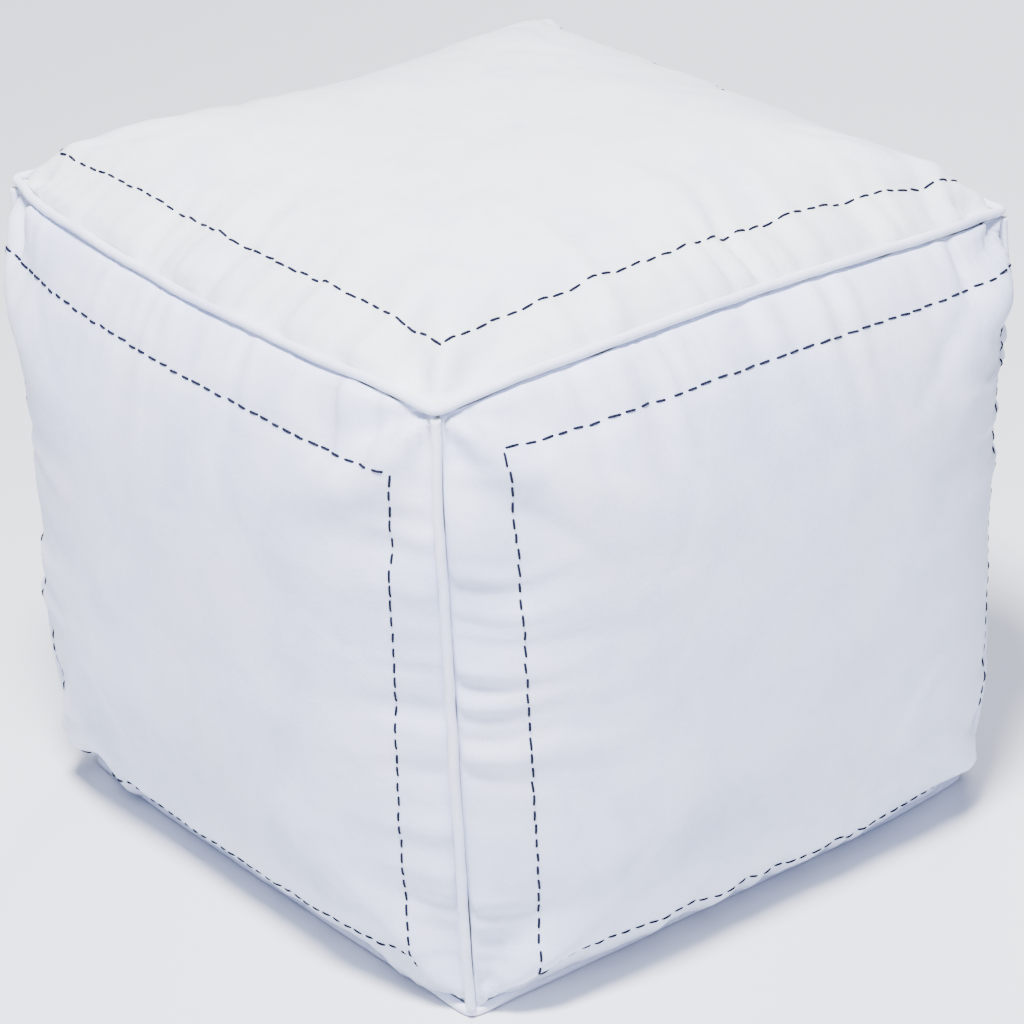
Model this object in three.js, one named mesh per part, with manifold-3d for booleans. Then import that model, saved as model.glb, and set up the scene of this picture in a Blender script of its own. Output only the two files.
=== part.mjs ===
// A square leather pouf: six leather faces joined by corded piping, a hand stitched
// square on each visible face, a stuffed cotton liner inside and a zip in the base.
// Millimetres, +Z up. The cover stands on z = 0 with its middle on the Z axis.
import * as THREE from 'three';
import { mergeVertices } from 'three/addons/utils/BufferGeometryUtils.js';
import Module from 'manifold-3d';

// Driving dimensions of the cover.
const seamWidth = 430; // between opposite upright seams, at the top
const seamHeight = 382; // from the base seam up to the top seam
const baseTuck = 14; // how far each side of the base seam is drawn in
const topCrown = 44; // rise of the top above its seam
const sideBulge = 41; // how far a side stands out from its seams
const leather = 1.8;
const beadRadius = 2.9; // outside of the piping
const weltLeather = 0.8; // strip wrapped round the piping cord
const weltMouth = 70; // degrees left open where the strip turns into the seam
const stitchInset = 27; // from the seam to the hand stitching, in plan
const threadRadius = 0.6;
const stitchCorner = 3;

// Driving dimensions of the liner and the zip.
const linerCloth = 1.2;
const mouthLength = 250; // filling slit in the liner
const mouthWidth = 50;
const zipLength = 300; // run of the teeth
const teethWidth = 2.3;
const teethHeight = 2.6;
const toothPitch = 5;
const toothCut = 0.9;
const tapeWidth = 13;
const tapeCloth = 0.7;
const tapeSpare = 8; // tape past the last tooth
const sliderLength = 9;
const plateThick = 1.2;
const archWidth = 2.4;
const tabLength = 22;
const tabWidth = 7;
const tabThick = 1.2;
const stopLength = 3;

// Clearances.
const gap = 0.3; // between pieces that touch
const floorLift = 0.2; // the base piping stays just off the floor
const softGap = 1.6; // between stuffed layers
const zipFloor = 1.1; // lowest zip piece above the floor

// Places worked out from them.
const half = seamWidth / 2;
const baseHalf = half - baseTuck;
const edge = beadRadius + gap; // from a seam's middle to a panel's edge
const baseSeamZ = beadRadius + floorLift;
const topSeamZ = baseSeamZ + seamHeight;
const cordRadius = beadRadius - weltLeather - gap;
const threadStand = 1.7 * (threadRadius + gap); // thread's middle above a sloping face
const windowSize = tabThick * Math.SQRT2 + 2 * gap; // clear space round the tab's bar
const plateOut = teethHeight / 2 + gap + plateThick; // zip plane to a slider plate's outside
const zipZ = zipFloor + plateThick + windowSize + plateOut;
const slotHalf = 2.5 * gap; // half the slot between the two rows of teeth
const webHalf = slotHalf - gap;
const tapeStart = slotHalf + teethWidth + gap;
const tapeEnd = tapeStart + tapeWidth;
const plateHalf = tapeStart + 1.2;
const lipHalf = plateHalf + 2 * gap; // leather edge beside the slider
const lipRise = zipZ - tapeCloth / 2 - gap - leather;
const stopMiddle = zipLength / 2 + gap + stopLength / 2;
const sliderRest = zipLength / 2 - gap - sliderLength / 2;
const tabReach = sliderRest + tabLength; // the tab's end with the slider at either stop
const zipHalf = Math.max(stopMiddle + stopLength / 2, tabReach) + 2; // run of the raised lip
const linerBase = zipZ + plateOut + softGap / 2;

const wasm = await Module();
wasm.setup();

const pouf = new THREE.Group();
const hide = { color: 0xe4e7ee, roughness: 0.62, metalness: 0 };
const hideTop = { color: 0xe2e2e4, roughness: 0.62, metalness: 0 };
const cotton = { color: 0xe9e4d8, roughness: 0.9, metalness: 0 };
const navyThread = { color: 0x0d1330, roughness: 0.7, metalness: 0 };
const nickel = { color: 0xb9bbbe, roughness: 0.3, metalness: 1 };

function add(name, geometry, finish) {
  const mesh = new THREE.Mesh(geometry, new THREE.MeshStandardMaterial(finish));
  mesh.name = name;
  pouf.add(mesh);
  return mesh;
}

// Moves every corner point of a geometry with place(point, index).
function reshape(geometry, place) {
  const position = geometry.attributes.position;
  const point = new THREE.Vector3();
  for (let i = 0; i < position.count; i += 1) {
    point.fromBufferAttribute(position, i);
    place(point, i);
    position.setXYZ(i, point.x, point.y, point.z);
  }
  geometry.computeVertexNormals();
  return geometry;
}

function solid(geometry) {
  const plain = geometry.clone();
  plain.deleteAttribute('normal');
  plain.deleteAttribute('uv');
  const merged = mergeVertices(plain, 1e-4);
  return new wasm.Manifold(new wasm.Mesh({
    numProp: 3,
    vertProperties: new Float32Array(merged.attributes.position.array),
    triVerts: new Uint32Array(merged.index.array),
  }));
}

function fromSolid(body) {
  const mesh = body.getMesh();
  const geometry = new THREE.BufferGeometry();
  geometry.setAttribute('position', new THREE.BufferAttribute(mesh.vertProperties, 3));
  geometry.setIndex(new THREE.BufferAttribute(mesh.triVerts, 1));
  geometry.computeVertexNormals();
  return geometry;
}

// Share of the full bulge at u, v = -1..1 across a stuffed face: steep beside the seams
// and nearly flat over the middle.
const swell = (s) => 1 - s ** 8;
const bulge = (u, v) => swell(u) * swell(v);
const crowd = (s) => Math.sin((s * Math.PI) / 2); // packs grid lines towards the edges
const panelSteps = 12;
const linerSteps = 8;

// A leather face in its own frame: X across, Y up, Z out. Its foot is tucked in.
function panel(width, height, rise, tuck) {
  const sheet = new THREE.BoxGeometry(2, 2, leather, panelSteps, panelSteps, 1);
  return reshape(sheet, (p) => {
    const u = crowd(p.x);
    const v = crowd(p.y);
    const drawn = (tuck * (1 - v)) / 2;
    p.set(u * (width / 2 - drawn), (v * height) / 2, p.z - leather / 2 + rise * bulge(u, v) - drawn);
  });
}

// Height of the outside of such a face, for what is stitched onto it.
function faceHeight(x, y, width, height, rise, tuck) {
  const v = (2 * y) / height;
  const drawn = (tuck * (1 - v)) / 2;
  const u = x / (width / 2 - drawn);
  return rise * bulge(u, v) - drawn;
}

// Stations round a rectangle with quarter-round corners, each with its outward direction.
function roundLoop(halfX, halfY, radius, cornerSteps, runSteps) {
  const stations = [];
  const signs = [[1, 1], [-1, 1], [-1, -1], [1, -1]];
  signs.forEach(([signX, signY], corner) => {
    const middle = new THREE.Vector2(signX * (halfX - radius), signY * (halfY - radius));
    for (let k = 0; k <= cornerSteps; k += 1) {
      const angle = ((corner + k / cornerSteps) * Math.PI) / 2;
      const out = new THREE.Vector2(Math.cos(angle), Math.sin(angle));
      stations.push({ at: middle.clone().addScaledVector(out, radius), out });
    }
    const [nextX, nextY] = signs[(corner + 1) % 4];
    const last = stations[stations.length - 1];
    const next = new THREE.Vector2(nextX * (halfX - radius), nextY * (halfY - radius));
    next.addScaledVector(last.out, radius);
    for (let k = 1; k < runSteps; k += 1) {
      const share = (1 + crowd((2 * k) / runSteps - 1)) / 2;
      stations.push({ at: last.at.clone().lerp(next, share), out: last.out });
    }
  });
  return stations;
}

// Carries a closed section of (out, up) points round the stations.
function ring(section, stations, heightAt) {
  const closed = [...section, section[0]];
  const count = stations.length;
  const lathe = new THREE.LatheGeometry(closed, count);
  return reshape(lathe, (p, i) => {
    const { at, out } = stations[Math.floor(i / closed.length) % count];
    const point = closed[i % closed.length];
    p.set(at.x + out.x * point.x, at.y + out.y * point.x, point.y + heightAt(at));
  });
}

function circle(radius, sides) {
  const turn = (k) => (2 * Math.PI * (k + 0.5)) / sides;
  return Array.from({ length: sides }, (_, k) => (
    new THREE.Vector2(radius * Math.cos(turn(k)), radius * Math.sin(turn(k)))));
}

// Open round section of the welt strip, its mouth facing the angle given in degrees.
function weltSection(facing) {
  const sides = 10;
  const start = ((facing + weltMouth / 2) * Math.PI) / 180;
  const sweep = ((360 - weltMouth) * Math.PI) / 180;
  const arc = (radius, k) => {
    const angle = start + (sweep * k) / sides;
    return new THREE.Vector2(radius * Math.cos(angle), radius * Math.sin(angle));
  };
  const outside = Array.from({ length: sides + 1 }, (_, k) => arc(beadRadius, k));
  const inside = Array.from({ length: sides + 1 }, (_, k) => (
    arc(beadRadius - weltLeather, sides - k)));
  return [...outside, ...inside];
}

function addPanels() {
  const width = seamWidth - 2 * edge;
  const height = seamHeight - 2 * edge;
  const top = add('top_panel', panel(width, width, topCrown, 0), hideTop);
  top.position.z = topSeamZ;
  const sides = ['front', 'right', 'back', 'left'];
  sides.forEach((side, k) => {
    const stand = new THREE.Group();
    stand.rotation.z = (k * Math.PI) / 2;
    pouf.add(stand);
    const mesh = add(`${side}_panel`, panel(width, height, sideBulge, baseTuck), hide);
    mesh.rotation.x = Math.PI / 2;
    mesh.position.set(0, -half, baseSeamZ + seamHeight / 2);
    stand.add(mesh);
  });
}

function addStitching() {
  const width = seamWidth - 2 * edge;
  const height = seamHeight - 2 * edge;
  const section = circle(threadRadius, 6);
  section.forEach((point) => { point.y += threadStand; });
  const square = half - stitchInset;
  const topLoop = ring(section, roundLoop(square, square, stitchCorner, 3, 12), (at) => (
    faceHeight(at.x, at.y, width, width, topCrown, 0)));
  add('top_stitching', topLoop, navyThread).position.z = topSeamZ;
  const sides = ['front', 'right', 'back', 'left'];
  sides.forEach((side, k) => {
    const stations = roundLoop(square, seamHeight / 2 - stitchInset, stitchCorner, 3, 12);
    const loop = ring(section, stations, (at) => (
      faceHeight(at.x, at.y, width, height, sideBulge, baseTuck)));
    const stand = new THREE.Group();
    stand.rotation.z = (k * Math.PI) / 2;
    pouf.add(stand);
    const mesh = add(`${side}_stitching`, loop, navyThread);
    mesh.rotation.x = Math.PI / 2;
    mesh.position.set(0, -half, baseSeamZ + seamHeight / 2);
    stand.add(mesh);
  });
}

function addPiping() {
  const loops = [['top', half, topSeamZ, 225], ['base', baseHalf, baseSeamZ, 135]];
  loops.forEach(([name, size, z, facing]) => {
    const stations = roundLoop(size, size, edge, 4, 1);
    const cover = ring(weltSection(facing), stations, () => 0);
    add(`${name}_piping_cover`, cover, hide).position.z = z;
    const cord = ring(circle(cordRadius, 8), stations, () => 0);
    add(`${name}_piping_cord`, cord, cotton).position.z = z;
  });
  const depth = seamHeight - 2 * edge;
  const lean = baseTuck / seamHeight;
  const outline = new THREE.Shape(weltSection(135));
  const core = new THREE.Shape(circle(cordRadius, 8));
  ['front_right', 'back_right', 'back_left', 'front_left'].forEach((corner, k) => {
    const stand = new THREE.Group();
    stand.rotation.z = (k * Math.PI) / 2;
    pouf.add(stand);
    const pieces = [['cover', outline, hide], ['cord', core, cotton]];
    pieces.forEach(([piece, shape, finish]) => {
      const upright = new THREE.ExtrudeGeometry(shape, { depth, bevelEnabled: false });
      upright.applyMatrix4(new THREE.Matrix4().makeShear(0, 0, 0, 0, lean, -lean));
      const mesh = add(`${corner}_piping_${piece}`, upright, finish);
      const foot = baseHalf + lean * edge;
      mesh.position.set(foot, -foot, baseSeamZ + edge);
      stand.add(mesh);
    });
  });
}

// Each half of the base lies flat and turns up into a lip beside the zip.
function addBase() {
  const outer = baseHalf - edge;
  const fade = 24; // past the zip's end the lip sinks back to the floor
  const columns = [-outer, -zipHalf - fade, -zipHalf, zipHalf, zipHalf + fade, outer];
  const rampStart = tapeEnd + 14;
  [['front', 0], ['back', Math.PI]].forEach(([side, turn]) => {
    const sheet = new THREE.BoxGeometry(5, 3, leather, 5, 3, 1);
    reshape(sheet, (p) => {
      const x = columns[Math.round(p.x + 2.5)];
      const open = Math.abs(x) <= zipHalf ? 1 : 0;
      const lip = open ? lipHalf : gap / 2;
      const rows = [-outer, -rampStart, -tapeEnd + 1, -lip];
      const row = Math.round(p.y + 1.5);
      const lift = row > 1 ? open * lipRise : 0;
      p.set(x, rows[row], p.z + leather / 2 + lift);
    });
    add(`base_panel_${side}`, sheet, hide).rotation.z = turn;
  });
}

// A stuffed block that stands size inside the seams all round, flat underneath.
function stuffedBlock(inset, bottom) {
  const block = new THREE.BoxGeometry(2, 2, 2, linerSteps, linerSteps, linerSteps);
  const top = topSeamZ - inset;
  return reshape(block, (p) => {
    const u = crowd(p.x);
    const v = crowd(p.y);
    const w = crowd(p.z);
    const drawn = (baseTuck * (1 - w)) / 2;
    const reach = half - inset - drawn;
    const outX = Math.abs(p.x) === 1 ? Math.sign(p.x) * sideBulge * bulge(v, w) : 0;
    const outY = Math.abs(p.y) === 1 ? Math.sign(p.y) * sideBulge * bulge(u, w) : 0;
    const outZ = p.z === 1 ? topCrown * bulge(u, v) : 0;
    p.set(u * reach + outX, v * reach + outY, bottom + ((w + 1) * (top - bottom)) / 2 + outZ);
  });
}

function addFilling() {
  const linerInset = leather + softGap + edge / 2;
  const outside = solid(stuffedBlock(linerInset, linerBase));
  const inside = solid(stuffedBlock(linerInset + linerCloth, linerBase + linerCloth));
  const slit = new THREE.BoxGeometry(mouthLength, mouthWidth, 4 * linerCloth);
  slit.translate(0, 0, linerBase + linerCloth / 2);
  const bag = outside.subtract(inside).subtract(solid(slit));
  add('inner_liner', fromSolid(bag), cotton);
  const deep = linerInset + linerCloth + softGap;
  const core = stuffedBlock(deep, linerBase + linerCloth + softGap);
  add('stuffing', core, { color: 0xf2efe8, roughness: 1, metalness: 0 });
}

// One row of zip teeth as a comb facing the middle slot.
function teethRow() {
  const comb = new THREE.Shape();
  const start = -zipLength / 2;
  const count = Math.round(zipLength / toothPitch);
  comb.moveTo(start, slotHalf + teethWidth);
  for (let k = 0; k < count; k += 1) {
    const x = start + k * toothPitch;
    comb.lineTo(x + toothPitch * 0.2, slotHalf + toothCut);
    comb.lineTo(x + toothPitch * 0.3, slotHalf);
    comb.lineTo(x + toothPitch * 0.7, slotHalf);
    comb.lineTo(x + toothPitch * 0.8, slotHalf + toothCut);
  }
  comb.lineTo(-start, slotHalf + teethWidth);
  const row = new THREE.ExtrudeGeometry(comb, { depth: teethHeight, bevelEnabled: false });
  return row.translate(0, 0, zipZ - teethHeight / 2);
}

function sectionAlongX(points, length) {
  const shape = new THREE.Shape(points.map(([y, z]) => new THREE.Vector2(y, z)));
  const bar = new THREE.ExtrudeGeometry(shape, { depth: length, bevelEnabled: false });
  bar.translate(0, 0, -length / 2);
  return bar.applyMatrix4(new THREE.Matrix4().makeBasis(
    new THREE.Vector3(0, 1, 0), new THREE.Vector3(0, 0, 1), new THREE.Vector3(1, 0, 0)));
}

// Half of an upright I section, mirrored to the other side and closed.
function mirrored(points) {
  return [...points, ...points.map(([y, z]) => [-y, z]).reverse()];
}

function addZip() {
  const tapeLength = zipLength + 2 * tapeSpare;
  [['front', Math.PI], ['back', 0]].forEach(([side, turn]) => {
    const tape = new THREE.BoxGeometry(tapeLength, tapeWidth, tapeCloth);
    tape.translate(0, tapeStart + tapeWidth / 2, zipZ);
    add(`zip_tape_${side}`, tape, cotton).rotation.z = turn;
    add(`zip_teeth_${side}`, teethRow(), cotton).rotation.z = turn;
  });
  const clear = tapeCloth / 2 + gap;
  const stopOut = clear + 1.2;
  const clip = mirrored([[plateHalf, -stopOut], [plateHalf, -clear], [webHalf, -clear],
    [webHalf, clear], [plateHalf, clear], [plateHalf, stopOut]]);
  [['closed', 1], ['open', -1]].forEach(([end, sign]) => {
    const stop = add(`zip_stop_${end}_end`, sectionAlongX(clip, stopLength), nickel);
    stop.position.set(sign * stopMiddle, 0, zipZ);
  });

  const inner = teethHeight / 2 + gap;
  const lipStart = slotHalf + teethWidth + gap;
  const body = mirrored([[plateHalf, -plateOut], [plateHalf, -clear], [lipStart, -clear],
    [lipStart, -inner], [webHalf, -inner], [webHalf, inner], [lipStart, inner],
    [lipStart, clear], [plateHalf, clear], [plateHalf, plateOut]]);
  const archHalf = windowSize / 2 + plateThick;
  const archLow = -plateOut - windowSize - plateThick;
  const arch = new THREE.BoxGeometry(2 * archHalf, archWidth, windowSize + 1.5 * plateThick);
  arch.translate(0, 0, archLow + (windowSize + 1.5 * plateThick) / 2);
  const archHole = new THREE.BoxGeometry(windowSize, 2 * archWidth, windowSize);
  archHole.translate(0, 0, -plateOut - windowSize / 2);
  const slider = solid(sectionAlongX(body, sliderLength)).add(solid(arch).subtract(solid(archHole)));
  add('zip_slider', fromSolid(slider), nickel).position.set(sliderRest, 0, zipZ);

  const armGap = archWidth / 2 + 2 * gap;
  const tab = new THREE.Shape();
  const barHalf = tabThick / 2;
  tab.moveTo(barHalf, -tabWidth / 2);
  tab.lineTo(barHalf, tabWidth / 2);
  tab.lineTo(-tabLength + tabWidth / 2, tabWidth / 2);
  tab.absarc(-tabLength + tabWidth / 2, 0, tabWidth / 2, Math.PI / 2, 1.5 * Math.PI, false);
  const eye = new THREE.Path();
  const eyeEnd = -archHalf * Math.SQRT2 - 2 * gap; // clears the arch's corner as it turns
  eye.moveTo(-barHalf, -armGap);
  eye.lineTo(eyeEnd, -armGap);
  eye.lineTo(eyeEnd, armGap);
  eye.lineTo(-barHalf, armGap);
  tab.holes.push(eye);
  const flat = { depth: tabThick, bevelEnabled: false, curveSegments: 8 };
  const pull = new THREE.ExtrudeGeometry(tab, flat).translate(0, 0, -barHalf);
  const barZ = zipZ - plateOut - windowSize / 2;
  add('zip_pull_tab', pull, nickel).position.set(sliderRest, 0, barZ);
}

addPanels();
addStitching();
addPiping();
addBase();
addFilling();
addZip();

export default pouf;
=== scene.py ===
import math
import random

import bmesh
import bpy
from mathutils import Matrix, Vector, geometry, interpolate, noise
from mathutils.bvhtree import BVHTree
from mathutils.kdtree import KDTree


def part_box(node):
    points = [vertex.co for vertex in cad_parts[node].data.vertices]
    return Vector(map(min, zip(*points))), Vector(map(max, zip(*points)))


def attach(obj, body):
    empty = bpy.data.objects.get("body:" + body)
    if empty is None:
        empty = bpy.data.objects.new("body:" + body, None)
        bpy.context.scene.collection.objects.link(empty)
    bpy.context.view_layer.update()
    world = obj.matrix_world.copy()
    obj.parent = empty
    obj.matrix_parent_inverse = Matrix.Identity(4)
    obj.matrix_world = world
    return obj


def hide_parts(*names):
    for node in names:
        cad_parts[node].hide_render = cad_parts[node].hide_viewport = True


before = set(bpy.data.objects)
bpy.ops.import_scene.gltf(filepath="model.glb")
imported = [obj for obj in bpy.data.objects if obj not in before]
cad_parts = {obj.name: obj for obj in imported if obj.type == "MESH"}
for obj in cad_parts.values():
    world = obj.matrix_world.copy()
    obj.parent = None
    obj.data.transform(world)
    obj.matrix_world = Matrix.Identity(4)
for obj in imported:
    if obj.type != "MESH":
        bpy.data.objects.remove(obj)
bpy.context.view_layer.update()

scene = bpy.context.scene

# places read from the frame
topSeamLow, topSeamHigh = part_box("top_piping_cover")
baseSeamLow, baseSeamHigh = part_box("base_piping_cover")
beadRadius = (topSeamHigh.z - topSeamLow.z) / 2
topSeamZ = (topSeamHigh.z + topSeamLow.z) / 2
baseSeamZ = (baseSeamHigh.z + baseSeamLow.z) / 2
half = topSeamHigh.x - beadRadius
baseTuck = half - (baseSeamHigh.x - beadRadius)
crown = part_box("top_panel")[1].z - topSeamZ
sideBulge = -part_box("front_panel")[0].y - half
midZ = (topSeamZ + baseSeamZ) / 2
halfHeight = (topSeamZ - baseSeamZ) / 2
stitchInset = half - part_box("top_stitching")[1].x
onFace = 0.9999  # a share of the flat box past this lies on a face
tiny = 1e-5


def linear(hexColour):
    # sRGB hex to linear light
    parts = [int(hexColour[i:i + 2], 16) / 255 for i in (1, 3, 5)]
    return [c / 12.92 if c <= 0.04045 else ((c + 0.055) / 1.055) ** 2.4 for c in parts] + [1]


def smoothStep(low, high, value):
    t = min(1, max(0, (value - low) / (high - low)))
    return t * t * (3 - 2 * t)


def makeObject(name, bm, material):
    mesh = bpy.data.meshes.new(name)
    bm.to_mesh(mesh)
    bm.free()
    for polygon in mesh.polygons:
        polygon.use_smooth = True
    mesh.materials.append(material)
    obj = bpy.data.objects.new(name, mesh)
    scene.collection.objects.link(obj)
    return obj


def addNode(tree, kind, settings=None, inputs=None):
    node = tree.nodes.new(kind)
    for key, value in (settings or {}).items():
        setattr(node, key, value)
    for key, value in (inputs or {}).items():
        if isinstance(value, bpy.types.NodeSocket):
            tree.links.new(value, node.inputs[key])
        else:
            node.inputs[key].default_value = value
    return node


def newMaterial(name):
    material = bpy.data.materials.new(name)
    material.use_nodes = True
    return material, material.node_tree, material.node_tree.nodes["Principled BSDF"]


def setRamp(node, stops):
    ramp = node.color_ramp
    while len(ramp.elements) < len(stops):
        ramp.elements.new(0.5)
    for element, (place, colour) in zip(ramp.elements, stops):
        element.position = place
        element.color = colour
    return node


view = {
    "azimuth": 52.4,
    "elevation": 25.2,
    "roll": -2.5,
    "distance": 2.246,
    "aimHeight": 0.1866,
    "lens": 128.3,
    "shiftX": -0.0022,
    "shiftY": -0.0062,
}


def addCamera():
    a = math.radians(view["azimuth"])
    e = math.radians(view["elevation"])
    back = Vector((math.sin(a) * math.cos(e), -math.cos(a) * math.cos(e), math.sin(e)))
    camera = bpy.data.objects.new("camera", bpy.data.cameras.new("camera"))
    scene.collection.objects.link(camera)
    turn = back.to_track_quat("Z", "Y").to_matrix().to_4x4()
    roll = Matrix.Rotation(math.radians(view["roll"]), 4, "Z")
    target = Vector((0, 0, view["aimHeight"]))
    camera.matrix_world = Matrix.Translation(target + back * view["distance"]) @ turn @ roll
    camera.data.lens = view["lens"]
    camera.data.shift_x = view["shiftX"]
    camera.data.shift_y = view["shiftY"]
    camera.data.clip_end = 50
    scene.camera = camera


studio = {
    "floorSize": 12,
    "worldStrength": 0.42,
    "worldColour": "#c4cffb",
    "floorColour": "#dfe0e2",
}
# each lamp's place, what it points at, disc size, power and colour
lamps = {
    "overhead": ((0.75, -0.85, 2.5), (0, 0, midZ), 0.6, 275, "#fbfcff"),
    "key": ((2.2, -1.0, 0.9), (0, 0, midZ), 0.7, 22, "#cdd6ff"),
    "fill": ((-0.9, -2.2, 0.8), (0, 0, midZ), 1.0, 6, "#a9c4ff"),
    "rear": ((-1.6, 2.0, 2.4), (-1.0, 1.2, 0), 1.2, 110, "#fbfcff"),
}


def addLamp(name, place, aim, size, power, colour):
    lamp = bpy.data.lights.new(name, "AREA")
    lamp.shape = "DISK"
    lamp.size = size
    lamp.energy = power
    lamp.color = linear(colour)[:3]
    obj = bpy.data.objects.new(name, lamp)
    scene.collection.objects.link(obj)
    look = (Vector(aim) - Vector(place)).to_track_quat("-Z", "Y")
    obj.matrix_world = Matrix.Translation(place) @ look.to_matrix().to_4x4()


def addStudio():
    floorMaterial, tree, shader = newMaterial("pale studio floor")
    shader.inputs["Base Color"].default_value = linear(studio["floorColour"])
    shader.inputs["Roughness"].default_value = 0.9
    bm = bmesh.new()
    bmesh.ops.create_grid(bm, x_segments=2, y_segments=2, size=studio["floorSize"] / 2)
    makeObject("studio_floor", bm, floorMaterial)
    world = bpy.data.worlds.new("studio")
    world.use_nodes = True
    backdrop = world.node_tree.nodes["Background"]
    backdrop.inputs["Color"].default_value = linear(studio["worldColour"])
    backdrop.inputs["Strength"].default_value = studio["worldStrength"]
    scene.world = world
    for name, (place, aim, size, power, colour) in lamps.items():
        addLamp(name, place, aim, size, power, colour)


# Matt white nappa, drum dyed and finely grained: it reads as a soft chalky white that
# turns faintly blue in shade, with a low broad gloss and no sharp highlights.
hide = {
    "pore": 0.0026,  # real pores are under 1 mm and would not show, so they are drawn coarser
    "fine": 0.0011,
    "cloud": 0.075,
    "crease": 0.03,
}


def leatherMaterial(name, light, dark, warm, wear):
    material, tree, shader = newMaterial(name)
    place = addNode(tree, "ShaderNodeTexCoord").outputs["Object"]
    cloud = addNode(tree, "ShaderNodeTexNoise", {}, {
        "Vector": place, "Scale": 1 / hide["cloud"], "Detail": 5, "Roughness": 0.6})
    blotch = addNode(tree, "ShaderNodeTexNoise", {}, {
        "Vector": place, "Scale": 1 / hide["crease"], "Detail": 6, "Roughness": 0.65,
        "Distortion": 0.6})
    fine = addNode(tree, "ShaderNodeTexNoise", {}, {
        "Vector": place, "Scale": 1 / hide["fine"], "Detail": 3, "Roughness": 0.7})
    pore = addNode(tree, "ShaderNodeTexVoronoi", {"feature": "SMOOTH_F1"}, {
        "Vector": place, "Scale": 1 / hide["pore"], "Smoothness": 0.4, "Randomness": 1})
    tone = setRamp(addNode(tree, "ShaderNodeValToRGB", {}, {"Fac": cloud.outputs["Fac"]}), [
        (0.3, linear(dark)), (0.52, linear(light)), (0.75, linear(warm))])
    spots = setRamp(addNode(tree, "ShaderNodeValToRGB", {}, {"Fac": blotch.outputs["Fac"]}), [
        (0.32, linear("#eceef2")), (0.55, linear("#ffffff"))])
    tinted = addNode(tree, "ShaderNodeMix", {"data_type": "RGBA", "blend_type": "MULTIPLY"}, {
        0: 0.55, 6: tone.outputs["Color"], 7: spots.outputs["Color"]})
    speckle = setRamp(addNode(tree, "ShaderNodeValToRGB", {}, {"Fac": fine.outputs["Fac"]}), [
        (0.35, linear("#e6e8ee")), (0.6, linear("#ffffff"))])
    grained = addNode(tree, "ShaderNodeMix", {"data_type": "RGBA", "blend_type": "MULTIPLY"}, {
        0: 0.35, 6: tinted.outputs[2], 7: speckle.outputs["Color"]})
    tree.links.new(grained.outputs[2], shader.inputs["Base Color"])
    gloss = addNode(tree, "ShaderNodeMapRange", {}, {
        "Value": blotch.outputs["Fac"], "From Min": 0.3, "From Max": 0.7,
        "To Min": 0.6 - wear, "To Max": 0.72})
    tree.links.new(gloss.outputs["Result"], shader.inputs["Roughness"])
    shader.inputs["IOR"].default_value = 1.46
    shader.inputs["Specular IOR Level"].default_value = 0.35
    shader.inputs["Sheen Weight"].default_value = 0.12
    shader.inputs["Sheen Roughness"].default_value = 0.5
    creaseBump = addNode(tree, "ShaderNodeBump", {}, {
        "Height": blotch.outputs["Fac"], "Strength": 0.35, "Distance": 0.0012})
    poreBump = addNode(tree, "ShaderNodeBump", {"invert": True}, {
        "Height": pore.outputs["Distance"], "Strength": 0.22, "Distance": 0.0005,
        "Normal": creaseBump.outputs["Normal"]})
    fineBump = addNode(tree, "ShaderNodeBump", {}, {
        "Height": fine.outputs["Fac"], "Strength": 0.2, "Distance": 0.0003,
        "Normal": poreBump.outputs["Normal"]})
    tree.links.new(fineBump.outputs["Normal"], shader.inputs["Normal"])
    return material


# Waxed linen thread, hand dyed navy: nearly black blue with a dull waxy gloss. The sewing
# thread along the zip is the same ply in off-white.
def threadMaterial(name, dark, light, faint):
    material, tree, shader = newMaterial(name)
    place = addNode(tree, "ShaderNodeTexCoord").outputs["Object"]
    ply = addNode(tree, "ShaderNodeTexWave", {"bands_direction": "DIAGONAL"}, {
        "Vector": place, "Scale": 1 / 0.004, "Distortion": 1.5, "Detail": 2})
    fuzz = addNode(tree, "ShaderNodeTexNoise", {}, {"Vector": place, "Scale": 1 / 0.02, "Detail": 4})
    twist = setRamp(addNode(tree, "ShaderNodeValToRGB", {}, {"Fac": ply.outputs["Fac"]}), [
        (0.2, linear(dark)), (0.8, linear(light))])
    faded = addNode(tree, "ShaderNodeMix", {"data_type": "RGBA"}, {
        0: fuzz.outputs["Fac"], 6: twist.outputs["Color"], 7: linear(faint)})
    tree.links.new(faded.outputs[2], shader.inputs["Base Color"])
    shader.inputs["Roughness"].default_value = 0.7
    shader.inputs["Specular IOR Level"].default_value = 0.2
    bump = addNode(tree, "ShaderNodeBump", {}, {
        "Height": ply.outputs["Fac"], "Strength": 0.5, "Distance": 0.0003})
    tree.links.new(bump.outputs["Normal"], shader.inputs["Normal"])
    return material


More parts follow.
